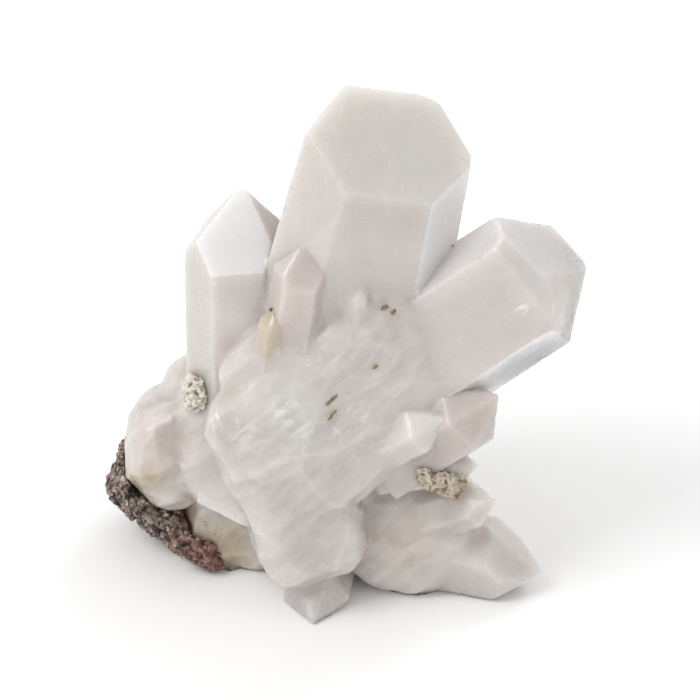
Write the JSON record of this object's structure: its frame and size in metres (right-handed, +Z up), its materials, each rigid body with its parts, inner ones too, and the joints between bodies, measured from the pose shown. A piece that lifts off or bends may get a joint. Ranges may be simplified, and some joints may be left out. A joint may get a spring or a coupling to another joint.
{
  "type": "quartz crystal cluster",
  "caption": "Upright milky quartz cluster: six-sided points fanning out of a broken milky root, on a scrap of dark porous rock.",
  "frame": {"origin": "middle of the footprint's bounding box, on the ground plane it stands on", "axes": "+Z up along the great centre point, -Y towards the side it is shown from, +X to the right"},
  "size_m": [0.1078, 0.0676, 0.1215],
  "materials": {
    "quartz": "milky, smooth crystal faces, broken root",
    "matrix_rock": "rough, porous, granular",
    "clay_crust": "matt, crumbly"
  },
  "bodies": {
    "root": {"quartz_cluster": "quartz", "matrix_rock": "matrix_rock", "clay_crust_left": "clay_crust", "clay_crust_right": "clay_crust"}
  },
  "joints": []
}
